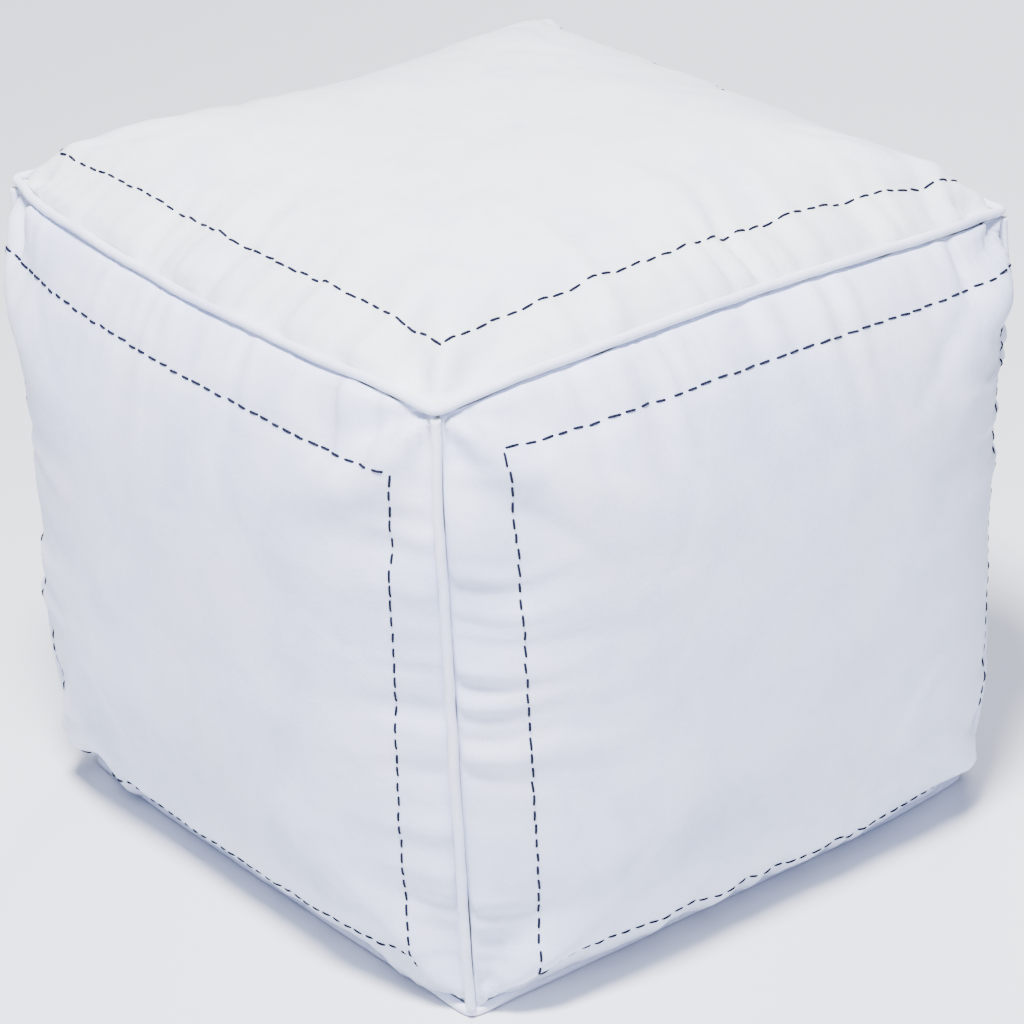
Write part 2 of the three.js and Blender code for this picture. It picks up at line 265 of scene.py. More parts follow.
# Plain woven cotton: crossing yarns give a dry, slightly mottled cream.
def clothMaterial(name, light, dark, yarn):
    material, tree, shader = newMaterial(name)
    place = addNode(tree, "ShaderNodeTexCoord").outputs["Object"]
    warp = addNode(tree, "ShaderNodeTexWave", {"bands_direction": "X"}, {
        "Vector": place, "Scale": 0.31 / yarn, "Distortion": 0.6, "Detail": 2})
    weft = addNode(tree, "ShaderNodeTexWave", {"bands_direction": "Y"}, {
        "Vector": place, "Scale": 0.31 / yarn, "Distortion": 0.6, "Detail": 2})
    weave = addNode(tree, "ShaderNodeMath", {"operation": "MULTIPLY"}, {
        0: warp.outputs["Fac"], 1: weft.outputs["Fac"]})
    slub = addNode(tree, "ShaderNodeTexNoise", {}, {"Vector": place, "Scale": 1 / 0.03, "Detail": 5})
    mixed = addNode(tree, "ShaderNodeMath", {"operation": "ADD"}, {
        0: weave.outputs["Value"], 1: slub.outputs["Fac"]})
    tone = setRamp(addNode(tree, "ShaderNodeValToRGB", {}, {"Fac": mixed.outputs["Value"]}), [
        (0.3, linear(dark)), (0.8, linear(light))])
    tree.links.new(tone.outputs["Color"], shader.inputs["Base Color"])
    shader.inputs["Roughness"].default_value = 0.92
    shader.inputs["Sheen Weight"].default_value = 0.2
    bump = addNode(tree, "ShaderNodeBump", {}, {
        "Height": weave.outputs["Value"], "Strength": 0.6, "Distance": 0.0003})
    tree.links.new(bump.outputs["Normal"], shader.inputs["Normal"])
    return material


# Cotton wadding: matted fibres, chalky and dull.
def waddingMaterial():
    material, tree, shader = newMaterial("matted cotton wadding")
    place = addNode(tree, "ShaderNodeTexCoord").outputs["Object"]
    clump = addNode(tree, "ShaderNodeTexNoise", {}, {
        "Vector": place, "Scale": 1 / 0.02, "Detail": 8, "Roughness": 0.7, "Distortion": 1.2})
    tone = setRamp(addNode(tree, "ShaderNodeValToRGB", {}, {"Fac": clump.outputs["Fac"]}), [
        (0.3, linear("#d9d3c6")), (0.7, linear("#f6f3ea"))])
    tree.links.new(tone.outputs["Color"], shader.inputs["Base Color"])
    shader.inputs["Roughness"].default_value = 1
    bump = addNode(tree, "ShaderNodeBump", {}, {
        "Height": clump.outputs["Fac"], "Strength": 0.8, "Distance": 0.003})
    tree.links.new(bump.outputs["Normal"], shader.inputs["Normal"])
    return material


# Nickel plated zinc die casting: a warm grey mirror dulled by fine handling scratches.
def nickelMaterial():
    material, tree, shader = newMaterial("nickel plated zinc casting")
    place = addNode(tree, "ShaderNodeTexCoord").outputs["Object"]
    stretched = addNode(tree, "ShaderNodeMapping", {}, {"Vector": place, "Scale": (1, 12, 12)})
    scratch = addNode(tree, "ShaderNodeTexNoise", {}, {
        "Vector": stretched.outputs["Vector"], "Scale": 1 / 0.004, "Detail": 4})
    tarnish = addNode(tree, "ShaderNodeTexNoise", {}, {"Vector": place, "Scale": 1 / 0.006, "Detail": 3})
    tone = setRamp(addNode(tree, "ShaderNodeValToRGB", {}, {"Fac": tarnish.outputs["Fac"]}), [
        (0.35, linear("#a9a59c")), (0.65, linear("#cfccc4"))])
    tree.links.new(tone.outputs["Color"], shader.inputs["Base Color"])
    shader.inputs["Metallic"].default_value = 1
    gloss = addNode(tree, "ShaderNodeMapRange", {}, {
        "Value": scratch.outputs["Fac"], "To Min": 0.2, "To Max": 0.42})
    tree.links.new(gloss.outputs["Result"], shader.inputs["Roughness"])
    bump = addNode(tree, "ShaderNodeBump", {}, {
        "Height": scratch.outputs["Fac"], "Strength": 0.15, "Distance": 0.0001})
    tree.links.new(bump.outputs["Normal"], shader.inputs["Normal"])
    return material


# Moulded acetal zip teeth: off-white, waxy, slightly uneven.
def acetalMaterial():
    material, tree, shader = newMaterial("moulded acetal")
    place = addNode(tree, "ShaderNodeTexCoord").outputs["Object"]
    flow = addNode(tree, "ShaderNodeTexNoise", {}, {"Vector": place, "Scale": 1 / 0.005, "Detail": 4})
    tone = setRamp(addNode(tree, "ShaderNodeValToRGB", {}, {"Fac": flow.outputs["Fac"]}), [
        (0.3, linear("#d8d4c8")), (0.7, linear("#ebe8de"))])
    tree.links.new(tone.outputs["Color"], shader.inputs["Base Color"])
    shader.inputs["IOR"].default_value = 1.48
    gloss = addNode(tree, "ShaderNodeMapRange", {}, {
        "Value": flow.outputs["Fac"], "To Min": 0.32, "To Max": 0.5})
    tree.links.new(gloss.outputs["Result"], shader.inputs["Roughness"])
    bump = addNode(tree, "ShaderNodeBump", {}, {
        "Height": flow.outputs["Fac"], "Strength": 0.2, "Distance": 0.0002})
    tree.links.new(bump.outputs["Normal"], shader.inputs["Normal"])
    return material


cover = {
    "cells": 52,  # squares along each side of a face before the last split
    "softness": 8,  # how square the bulge is
    # at each corner of the plan, or along each side of the top
    "cornerDrop": {"front_right": 0.003, "back_right": 0, "back_left": 0.001, "front_left": 0},
    "cornerPull": {"front_right": 0.003, "back_right": 0.007, "back_left": 0.003, "front_left": 0.008},
    "cornerReach": 0.035,
    "rightBulge": 0.008,  # the right face is stuffed harder than the others
    "rimBow": 0.0055,  # the top seam bows out between its corners
    "rimRise": {"front": 0.001, "right": 0.0065, "back": -0.009, "left": -0.005},
    "cornerBow": {"front_right": 0.0055, "back_right": -0.008, "back_left": 0.002, "front_left": -0.003},
    "cornerLow": {"front_right": -0.001, "back_right": 0.004, "back_left": 0, "front_left": 0.008},
    "cornerTuck": {"front_right": 0.001, "back_right": 0.009, "back_left": 0.004, "front_left": 0.006},
    "cornerLift": {"front_right": 0, "back_right": -0.005, "back_left": 0.008, "front_left": 0.014},
    "seamWave": 0.0008,
    "waveSize": 0.045,
    "pressure": 5,
    "slack": 0.035,  # spare leather gathered along the seams
    "slackReach": 0.045,
    "moveLimit": 0.012,  # the cloth moves no farther from where it starts
    "steps": 18,
    "lumps": 0.003,  # broad lumps of the stuffing
    "lumpSize": 0.13,
    "smallLump": 0.05,
    "smallShare": 0.35,
    "lumpMargin": 0.05,
    "stitchPinch": 0.0011,
    "pinchWidth": 0.0042,
    "floorGap": 0.0002,
}
lowPeak = 2.6  # brings the low bow's curve, down * (1 - w * w), up to 1


def swell(s):
    return max(0, 1 - abs(s) ** cover["softness"])


def shares(flat):
    # the flat box point as -1..1 across, along and up
    return flat.x / half, flat.y / half, (flat.z - midZ) / halfHeight


def stuffed(flat):
    # place of a point of the flat box on the stuffed cover
    u, v, w = shares(flat)
    tuck = baseTuck * (1 - w) / 2
    place = Vector((u * (half - tuck), v * (half - tuck), flat.z))
    if abs(u) > onFace:
        full = sideBulge + (cover["rightBulge"] if u > 0 else 0)
        place.x += math.copysign(full * swell(v) * swell(w), u)
    if abs(v) > onFace:
        place.y += math.copysign(sideBulge * swell(u) * swell(w), v)
    if w > onFace:
        place.z += crown * swell(u) * swell(v)
    # no two seams of a hand stuffed cover bow and lean the same way
    corner = ("front" if v < 0 else "back") + ("_right" if u > 0 else "_left")
    upper = max(0, w) ** 4
    nearX, nearY = abs(u) ** 4, abs(v) ** 4
    down = max(0, -w)
    out = (cover["cornerBow"][corner] + cover["cornerLow"][corner] * lowPeak * down) * (1 - w * w)
    out = nearX * nearY * (out - cover["cornerTuck"][corner] * down ** 4)
    place.x += math.copysign(1, u) * (out + nearX * upper * (1 - v * v) * cover["rimBow"])
    place.y += math.copysign(1, v) * (out + nearY * upper * (1 - u * u) * cover["rimBow"])
    rise = cover["rimRise"]
    place.z += upper * u * u * (1 - v * v) * rise["right" if u > 0 else "left"]
    place.z += upper * v * v * (1 - u * u) * rise["back" if v > 0 else "front"]
    place.z += upper * abs(u * v) * cover["cornerLift"][corner]
    # the top corners are pulled down and in by the seams that meet there
    if w > 0:
        away = Vector(((1 - abs(u)) * half, (1 - abs(v)) * half, (1 - w) * halfHeight)).length
        near = math.exp(-((away / cover["cornerReach"]) ** 2))
        place.z -= cover["cornerDrop"][corner] * near
        place.x -= math.copysign(cover["cornerPull"][corner] * near, u)
        place.y -= math.copysign(cover["cornerPull"][corner] * near, v)
    return place


def flatMiddle(face, layer):
    return sum((v[layer] for v in face.verts), Vector()) / len(face.verts)


def edgeCount(flat):
    u, v, w = shares(flat)
    return sum(abs(s) > onFace for s in (u, v, w))


def seamDistance(flat):
    gaps = sorted((half - abs(flat.x), half - abs(flat.y), halfHeight - abs(flat.z - midZ)))
    return gaps[1]


def startCover():
    bm = bmesh.new()
    bmesh.ops.create_cube(bm, size=2)
    bmesh.ops.subdivide_edges(bm, edges=bm.edges[:], cuts=cover["cells"] - 1, use_grid_fill=True)
    layer = bm.verts.layers.float_vector.new("flat")
    for v in bm.verts:
        flat = Vector((v.co.x * half, v.co.y * half, midZ + v.co.z * halfHeight))
        v[layer] = flat
        v.co = stuffed(flat)
    return bm


clothFeel = {
    "quality": 5,
    "mass": 0.4,
    "tension_stiffness": 25,
    "compression_stiffness": 25,
    "shear_stiffness": 12,
    "bending_stiffness": 1.2,
}


def inflate(bm):
    # cloth under pressure, held at its seams, with spare leather beside them
    mesh = bpy.data.meshes.new("cover_sim")
    bm.to_mesh(mesh)
    obj = bpy.data.objects.new("cover_sim", mesh)
    scene.collection.objects.link(obj)
    layer = bm.verts.layers.float_vector["flat"]
    held = obj.vertex_groups.new(name="held")
    loose = obj.vertex_groups.new(name="loose")
    for v in bm.verts:
        flat = v[layer]
        if edgeCount(flat) > 1 or flat.z < baseSeamZ + tiny:
            held.add([v.index], 1, "REPLACE")
        beside = 1 - smoothStep(0, cover["slackReach"], seamDistance(flat))
        loose.add([v.index], beside, "REPLACE")
    cloth = obj.modifiers.new("Cloth", "CLOTH")
    settings = cloth.settings
    for key, value in clothFeel.items():
        setattr(settings, key, value)
    settings.use_pressure = True
    settings.uniform_pressure_force = cover["pressure"]
    settings.effector_weights.gravity = 0
    settings.vertex_group_mass = "held"
    settings.vertex_group_shrink = "loose"
    settings.shrink_min = 0
    settings.shrink_max = -cover["slack"]
    cloth.collision_settings.use_collision = False
    for step in range(1, cover["steps"] + 1):
        scene.frame_set(step)
    result = obj.evaluated_get(bpy.context.evaluated_depsgraph_get()).to_mesh()
    for v, moved in zip(bm.verts, result.vertices):
        move = moved.co - v.co
        if move.length > cover["moveLimit"]:
            move.length = cover["moveLimit"]
        v.co += move
    scene.frame_set(1)
    bpy.data.objects.remove(obj)


def faceCoordinates(flat):
    # face name, coordinates on it from its middle, and its half sizes
    u, v, w = shares(flat)
    up = flat.z - midZ
    if w > onFace:
        return "top", flat.x, flat.y, half, half
    if w < -onFace:
        return "base", flat.x, flat.y, half, half
    if v < -onFace:
        return "front", flat.x, up, half, halfHeight
    if u > onFace:
        return "right", flat.y, up, half, halfHeight
    if v > onFace:
        return "back", -flat.x, up, half, halfHeight
    return "left", -flat.y, up, half, halfHeight


faceNames = ["top", "base", "front", "right", "back", "left"]

puckers = {
    "height": 0.0105,
    "margin": 0.12,  # none farther from the seam than this
    "reach": 0.026,  # the short ones fade over this, the wide ones over twice as far
    "spacing": 0.0105,
    "length": 0.11,
    "start": 0.004,  # the seam itself stays even
    "wideShare": 0.9,
    "wideSpacing": 0.024,
    "wideLength": 0.2,
    "wideStart": 0.006,
    "bend": 0.012,
    "bendSize": (0.05, 0.09),  # away from the seam and along it
    "crowd": (0.55, 0.9),  # the least share, and how much more where they bunch
    "crowdSize": 0.06,
    "baseShare": 0.45,  # calmer where the faces tuck under
}


def fadeIn(gap, start):
    return 1 - math.exp(-gap / start)


def gathers(face, a, b, halfA, halfB):
    # folds square to each seam, crowded and uneven along it
    # seed and key give each seam its own part of the noise
    seed = faceNames.index(face) * 7.3
    away, alongSize = puckers["bendSize"]
    least, more = puckers["crowd"]
    total = 0
    sides = [(halfA - a, b, 0), (halfA + a, b, 1), (halfB - b, a, 2), (halfB + b, a, 3)]
    for gap, along, side in sides:
        if gap > puckers["margin"]:
            continue
        key = seed + side * 3.1
        bent = along + puckers["bend"] * noise.noise(Vector((gap / away, along / alongSize, key)))
        crowd = least + more * noise.noise(Vector((along / puckers["crowdSize"], 5.5, key)))
        short = noise.noise(Vector((bent / puckers["spacing"], gap / puckers["length"], key)))
        wide = noise.noise(Vector((bent / puckers["wideSpacing"], gap / puckers["wideLength"], key + 40)))
        short *= math.exp(-gap / puckers["reach"]) * fadeIn(gap, puckers["start"])
        wide *= math.exp(-gap / (2 * puckers["reach"])) * fadeIn(gap, puckers["wideStart"])
        share = puckers["baseShare"] if side == 3 and face != "top" else 1
        total += share * crowd * (short + puckers["wideShare"] * wide)
    return total


cornerFold = {
    "height": 0.005,
    "reach": 0.16,
    "peak": 0.035,  # distance from the corner where they stand highest
    "ripples": 6.5,
    "aim": 0.8,  # angle of the middle fold, in radians from the upright seam
    "sway": 1.6,
    "swaySize": 0.05,
}


def cornerFolds(a, b, halfA, halfB, seed):
    # tension folds that run from a corner towards the stitched corner
    x = halfA - abs(a)
    y = halfB - abs(b)
    reach = math.hypot(x, y)
    if reach > cornerFold["reach"] or reach < tiny:
        return 0
    sway = cornerFold["sway"] * noise.noise(Vector((reach / cornerFold["swaySize"], seed, 2)))
    ripple = math.cos(cornerFold["ripples"] * (math.atan2(y, x) - cornerFold["aim"]) + sway)
    return ripple * (reach / cornerFold["peak"]) * math.exp(1 - reach / cornerFold["peak"])


# how far each sewn corner strays from an even margin, from the upper right corner round
# to the lower right one
stitchDrift = {
    "top": [(0.002, 0.006), (0, 0.006), (0, 0), (0, 0)],
    "front": [(0.007, -0.010), (-0.008, 0), (-0.008, -0.014), (-0.002, -0.004)],
    "right": [(0.008, 0), (0.001, 0.002), (0.005, 0), (0.008, -0.012)],
}


def stitchCorners(face):
    reachA = half - stitchInset
    reachB = (half if face == "top" else halfHeight) - stitchInset
    corners = [(reachA, reachB), (-reachA, reachB), (-reachA, -reachB), (reachA, -reachB)]
    drift = stitchDrift.get(face, [(0, 0)] * 4)
    return [Vector(corner) + Vector(stray) for corner, stray in zip(corners, drift)]


def stitchDistance(face, a, b):
    corners = stitchCorners(face)
    spot = Vector((a, b))
    gaps = []
    for k in range(4):
        start, end = corners[k], corners[(k + 1) % 4]
        near, share = geometry.intersect_point_line(spot, start, end)
        if share < 0 or share > 1:
            near = start if share < 0 else end
        gaps.append((spot - near.to_2d()).length)
    return min(gaps)


def relief(flat, place):
    # height of the leather over the smooth stuffed shape
    face, a, b, halfA, halfB = faceCoordinates(flat)
    if face == "base":
        return 0
    seed = faceNames.index(face) * 1.7
    lumps = noise.noise(place / cover["lumpSize"] + Vector((seed, 0, 0)))
    lumps += cover["smallShare"] * noise.noise(place / cover["smallLump"] + Vector((0, seed, 0)))
    middle = smoothStep(0, cover["lumpMargin"], min(halfA - abs(a), halfB - abs(b)))
    height = cover["lumps"] * lumps * middle
    height += puckers["height"] * gathers(face, a, b, halfA, halfB)
    height += cornerFold["height"] * cornerFolds(a, b, halfA, halfB, seed)
    pinch = math.exp(-((stitchDistance(face, a, b) / cover["pinchWidth"]) ** 2))
    return height - cover["stitchPinch"] * pinch


def relax(bm, verts, rounds):
    for _ in range(rounds):
        bmesh.ops.smooth_vert(
            bm, verts=verts, factor=0.5, use_axis_x=True, use_axis_y=True, use_axis_z=True)


def finishCover(bm):
    layer = bm.verts.layers.float_vector["flat"]
    bmesh.ops.subdivide_edges(bm, edges=bm.edges[:], cuts=1, use_grid_fill=True)
    inner = [v for v in bm.verts if edgeCount(v[layer]) < 2]
    relax(bm, inner, 2)
    bm.normal_update()
    moves = [(v, v.normal * relief(v[layer], v.co)) for v in inner]
    for v, move in moves:
        v.co += move
    for v in bm.verts:
        if edgeCount(v[layer]) > 1:
            wave = Vector([noise.noise(v.co / cover["waveSize"] + Vector((k * 9, 0, 0)))
                           for k in range(3)])
            v.co += cover["seamWave"] * wave
        if v[layer].z < baseSeamZ + tiny and edgeCount(v[layer]) < 2:
            v.co.z = 0
        v.co.z = max(v.co.z, cover["floorGap"])
    bm.normal_update()


print("cover: stuffed shape")
addCamera()
addStudio()
coverMesh = startCover()
print("cover: cloth under pressure")
inflate(coverMesh)
finishCover(coverMesh)
flatLayer = coverMesh.verts.layers.float_vector["flat"]

# The side faces are a shaded copy of the white leather: their blue tint is painted shade.
leatherSideShaded = leatherMaterial("white nappa leather", "#dde3f7", "#cfd6ef", "#e4e7f5", 0.04)
# The top is a lit copy of the same leather: its lighter, more neutral tone is painted light, and only its
# glossier patches stand for wear.
leatherTopLit = leatherMaterial("white nappa leather top with painted light and wear", "#e8e9ec", "#dcdfe6", "#eae9e8", 0.06)
leatherBase = leatherMaterial("white nappa leather base", "#e2e3e6", "#d2d4da", "#e6e4e0", 0.02)
# The piping copy carries the same painted blue shade tint as the side faces.
leatherPiping = leatherMaterial("white nappa leather strip", "#e2e6f6", "#d3d9ee", "#e8eaf4", 0.05)
thread = threadMaterial("waxed navy linen thread", "#03051a", "#0c1136", "#070b2a")
seamThread = threadMaterial("polyester sewing thread", "#cfcdc6", "#efede6", "#e0ddd5")
cordCotton = clothMaterial("twisted cotton cord", "#efe9dc", "#cfc7b4", 0.0012)
linerCotton = clothMaterial("unbleached cotton calico", "#eee7d8", "#d3cab6", 0.0012)
tapeWeave = clothMaterial("woven polyester tape", "#eceae4", "#cfccc2", 0.0008)
wadding = waddingMaterial()
nickel = nickelMaterial()
acetal = acetalMaterial()

facing = {
    "leather": 0.0015,
    "lipOut": 0.92,  # share of the bead's radius from seam to the leather's turned edge
    "lipDrop": 0.0015,
    "rootDrop": 0.0045,
    "rootOut": 0.0007,
    "rounding": 0.0011,
}


def seamFrames():
    # place and outward direction of each seam point of the closed cover, by its number
    frames = {}
    for v in coverMesh.verts:
        if edgeCount(v[flatLayer]) > 1:
            frames[v.index] = (v.co.copy(), v.normal.copy())
    return frames


def cutFace(face):
    # the faces of one side of the cover, with each point's number on the cover
    bm = coverMesh.copy()
    numbers = bm.verts.layers.int.new("number")
    layer = bm.verts.layers.float_vector["flat"]
    for v in bm.verts:
        v[numbers] = v.index
    others = [f for f in bm.faces if faceCoordinates(flatMiddle(f, layer))[0] != face]
    bmesh.ops.delete(bm, geom=others, context="FACES")
    return bm


def turnInEdge(bm, frames):
    # the leather's edge rounds over beside the piping and goes down into the seam
    numbers = bm.verts.layers.int["number"]
    rim = [v for v in bm.verts if v.is_boundary]
    into = {}
    for v in rim:
        seam, normal = frames[v[numbers]]
        inner = [e.other_vert(v) for e in v.link_edges if not e.other_vert(v).is_boundary]
        if not inner:  # a corner: aim at the opposite point of its only face
            inner = [max(v.link_faces[0].verts, key=lambda o: (o.co - v.co).length)]
        way = sum((o.co - seam for o in inner), Vector())
        way -= normal * way.dot(normal)
        into[v[numbers]] = way.normalized()
    edges = [e for e in bm.edges if e.is_boundary]
    made = bmesh.ops.extrude_edge_only(bm, edges=edges)["geom"]
    roots = {v for v in made if isinstance(v, bmesh.types.BMVert)}
    for v in rim:
        seam, normal = frames[v[numbers]]
        way = into[v[numbers]]
        v.co = seam + way * beadRadius * facing["lipOut"] - normal * facing["lipDrop"]
    for v in roots:
        seam, normal = frames[v[numbers]]
        way = into[v[numbers]]
        v.co = seam + way * facing["rootOut"] - normal * facing["rootDrop"]
    rimSet = set(rim)
    lip = [e for e in bm.edges if e.verts[0] in rimSet and e.verts[1] in rimSet]
    bmesh.ops.bevel(
        bm, geom=lip, offset=facing["rounding"], offset_type="OFFSET", affect="EDGES", segments=2,
        profile=0.5, material=-1)
    bmesh.ops.recalc_face_normals(bm, faces=bm.faces[:])


def addThickness(obj, thickness):
    wall = obj.modifiers.new("leather_thickness", "SOLIDIFY")
    wall.thickness = thickness
    wall.offset = -1


frames = seamFrames()


def addPanels():
    for face in ["top", "front", "right", "back", "left"]:
        bm = cutFace(face)
        turnInEdge(bm, frames)
        middle = Vector((0, 0, midZ))
        material = leatherTopLit if face == "top" else leatherSideShaded
        outward = sum(((f.calc_center_median() - middle).dot(f.normal) for f in bm.faces), 0)
        if outward < 0:
            bmesh.ops.reverse_faces(bm, faces=bm.faces[:])
        obj = makeObject(f"{face}_leather", bm, material)
        addThickness(obj, facing["leather"])
        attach(obj, "cover")
        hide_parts(f"{face}_panel")


piping = {
    "proud": 0.0015,  # bead's middle above the seam line
    "roundness": 5,  # steps in a quarter of the bead
    "rounds": 5,  # how often the bead's line is smoothed
    "uneven": ((0.05, 0.012), (0.03, 0.03)),  # share of the radius, and length of each swelling
    "cordShare": 0.62,
    "floorShare": 1.08,  # lowest middle of the base bead, in radii
    "endLow": 0.9,  # where an upright bead ends by the base bead and the top bead, in radii
    "endHigh": 0.2,
}


def tube(name, routes, radius, material, closed, resolution, radii=None):
    curve = bpy.data.curves.new(name, "CURVE")
    curve.dimensions = "3D"
    curve.bevel_depth = radius
    curve.bevel_resolution = resolution
    curve.use_fill_caps = True
    for number, route in enumerate(routes):
        spline = curve.splines.new("POLY")
        spline.points.add(len(route) - 1)
        spline.use_cyclic_u = closed
        for k, place in enumerate(route):
            spline.points[k].co = (*place, 1)
            if radii:
                spline.points[k].radius = radii[number][k]
    shape = bpy.data.objects.new(name + "_curve", curve)
    scene.collection.objects.link(shape)
    mesh = bpy.data.meshes.new_from_object(shape.evaluated_get(bpy.context.evaluated_depsgraph_get()))
    bpy.data.objects.remove(shape)
    mesh.name = name
    mesh.materials.clear()
    bm = bmesh.new()
    bm.from_mesh(mesh)
    bmesh.ops.remove_doubles(bm, verts=bm.verts[:], dist=1e-6)
    bmesh.ops.recalc_face_normals(bm, faces=bm.faces[:])
    bpy.data.meshes.remove(mesh)
    return makeObject(name, bm, material)


def smoothed(points, closed, rounds):
    for _ in range(rounds):
        count = len(points)
        fresh = []
        for k, p in enumerate(points):
            if not closed and k in (0, count - 1):
                fresh.append(p)
                continue
            fresh.append((points[k - 1] + p * 2 + points[(k + 1) % count]) / 4)
        points = fresh
    return points


def seamLoop(z):
    # points of the level seam at flat height z, in order round the cover
    ring = [v for v in coverMesh.verts
            if abs(v[flatLayer].z - z) < tiny and edgeCount(v[flatLayer]) > 1]
    ring.sort(key=lambda v: math.atan2(v[flatLayer].y, v[flatLayer].x))
    return [v.co + v.normal * piping["proud"] for v in ring]


def uprightSeam(signX, signY):
    line = [v for v in coverMesh.verts
            if (v[flatLayer] - Vector((signX * half, signY * half, v[flatLayer].z))).length < tiny]
    line.sort(key=lambda v: v.co.z)
    return [v.co + v.normal * piping["proud"] for v in line]


def addBead(name, route, closed):
    fine = []
    count = len(route)
    for k, p in enumerate(route):
        fine.append(p)
        if closed or k < count - 1:
            fine.append((p + route[(k + 1) % count]) / 2)
    fine = smoothed(fine, closed, piping["rounds"])
    radii = [1 + sum(share * noise.noise(p / size) for share, size in piping["uneven"]) for p in fine]
    jacket = tube(name + "_piping_leather", [fine], beadRadius, leatherPiping, closed,
                 piping["roundness"], [radii])
    cord = tube(name + "_piping_cotton", [fine], beadRadius * piping["cordShare"], cordCotton, closed, 2)
    for piece, part, slot in ((jacket, "cover", "leather_piping"), (cord, "cord", "piping_cord")):
        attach(piece, "cover")
        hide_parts(f"{name}_piping_{part}")


def addPiping():
    addBead("top", seamLoop(topSeamZ), True)
    base = seamLoop(baseSeamZ)
    for p in base:
        p.z = max(p.z, beadRadius * piping["floorShare"])
    addBead("base", base, True)
    corners = {
        "front_right": (1, -1), "back_right": (1, 1), "back_left": (-1, 1), "front_left": (-1, -1)}
    for name, (signX, signY) in corners.items():
        route = uprightSeam(signX, signY)
        low = baseSeamZ + piping["endLow"] * beadRadius
        high = route[-1].z - piping["endHigh"] * beadRadius
        addBead(name, [p for p in route if low < p.z < high], False)


stitches = {
    "acrossPitch": 0.0107,
    "upPitch": 0.0095,
    "share": 0.62,  # part of the pitch that shows as thread
    "thread": 0.00074,
    "lengthSpread": 0.2,
    "placeSpread": 0.06,
    "turnSpread": 5,  # degrees
    "sideSpread": 0.0005,
    "above": 0.0004,
    "under": 0.0007,
}


def surfaceMap(face):
    # finds the leather's place and outward direction from flat coordinates on a face
    places, flats, normals, polygons = [], [], [], []
    lookup = {}
    for f in coverMesh.faces:
        if faceCoordinates(flatMiddle(f, flatLayer))[0] != face:
            continue
        polygon = []
        for v in f.verts:
            if v.index not in lookup:
                lookup[v.index] = len(places)
                places.append(v.co.copy())
                flats.append(v[flatLayer].copy())
                normals.append(v.normal.copy())
            polygon.append(lookup[v.index])
        polygons.append(polygon)
    tree = BVHTree.FromPolygons(flats, polygons)

    def onLeather(flat):
        spot, _, index, _ = tree.find_nearest(flat)
        polygon = polygons[index]
        weights = interpolate.poly_3d_calc([flats[k] for k in polygon], spot)
        place = sum((places[k] * w for k, w in zip(polygon, weights)), Vector())
        normal = sum((normals[k] * w for k, w in zip(polygon, weights)), Vector())
        return place, normal.normalized()

    return onLeather


def flatPoint(face, a, b):
    if face == "top":
        return Vector((a, b, topSeamZ))
    up = midZ + b
    spots = {"front": (a, -half), "right": (half, a), "back": (-a, half), "left": (-half, -a)}
    return Vector((*spots[face], up))


def stitchRow(start, end, pitch, rng):
    # flat end points of each stitch from one stitched corner to the next
    count = round((end - start).length / pitch)
    step = (end - start) / count
    side = Vector((-step.y, step.x)).normalized()
    row = []
    for k in range(count):
        length = stitches["share"] * (1 + rng.uniform(-1, 1) * stitches["lengthSpread"])
        middle = start + step * (k + 0.5 + rng.uniform(-1, 1) * stitches["placeSpread"])
        middle += side * rng.uniform(-1, 1) * stitches["sideSpread"]
        turn = math.radians(rng.uniform(-1, 1) * stitches["turnSpread"])
        way = Matrix.Rotation(turn, 2) @ step
        row.append((middle - way * length / 2, middle + way * length / 2))
    return row


def addStitching():
    # share of the way along a stitch, and how far it stands out (above 0) or sinks in
    profile = [(0, -1), (0.06, 0.15), (0.25, 0.9), (0.5, 1), (0.75, 0.9), (0.94, 0.15), (1, -1)]
    for face in ["top", "front", "right", "back", "left"]:
        rng = random.Random("hand stitching " + face)
        onLeather = surfaceMap(face)
        corners = stitchCorners(face)
        routes = []
        for k in range(4):
            across = k % 2 == 0 or face == "top"
            pitch = stitches["acrossPitch"] if across else stitches["upPitch"]
            for start, end in stitchRow(corners[k], corners[(k + 1) % 4], pitch, rng):
                route = []
                for along, rise in profile:
                    spot = start.lerp(end, along)
                    place, normal = onLeather(flatPoint(face, spot.x, spot.y))
                    lift = stitches["above"] * rise if rise > 0 else stitches["under"] * rise
                    route.append(place + normal * lift)
                routes.append(route)
        obj = tube(f"{face}_hand_stitches", routes, stitches["thread"], thread, False, 1)
        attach(obj, "cover")
        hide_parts(f"{face}_stitching")


base = {
    "leather": 0.0015,
    "lipReach": 0.016,  # width of the leather that rises to the zip
    "lipFade": 0.022,
    "lipFlat": 0.002,  # the raised lip stays level for this far
    "pastZip": 0.011,  # how far the lips part beyond the ends of the zip
    "sliderGap": 0.0006,
    "tapeGap": 0.0003,
    "lipRoom": 0.0018,  # height kept for the leather below the tapes
    "seamGap": 0.00015,
    "loops": (0.0006, 0.0018, 0.0055, 0.0093, 0.013),  # extra rows of points beside the lip
    "rounding": 0.0005,
    "stitchPitch": 0.0034,
    "stitchShare": 0.74,
    "stitchThread": 0.00032,
    "stitchFromLip": 0.0032,
    "stitchRise": 0.0002,
}
tapeLow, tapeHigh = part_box("zip_tape_front")
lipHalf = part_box("zip_slider")[1].y + base["sliderGap"]
lipRise = tapeLow.z - base["tapeGap"] - base["lipRoom"]
lipRun = max(tapeHigh.x, -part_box("zip_pull_tab")[0].x) + base["pastZip"]


def lipShare(x):
    return 1 - smoothStep(lipRun, lipRun + base["lipFade"], abs(x))


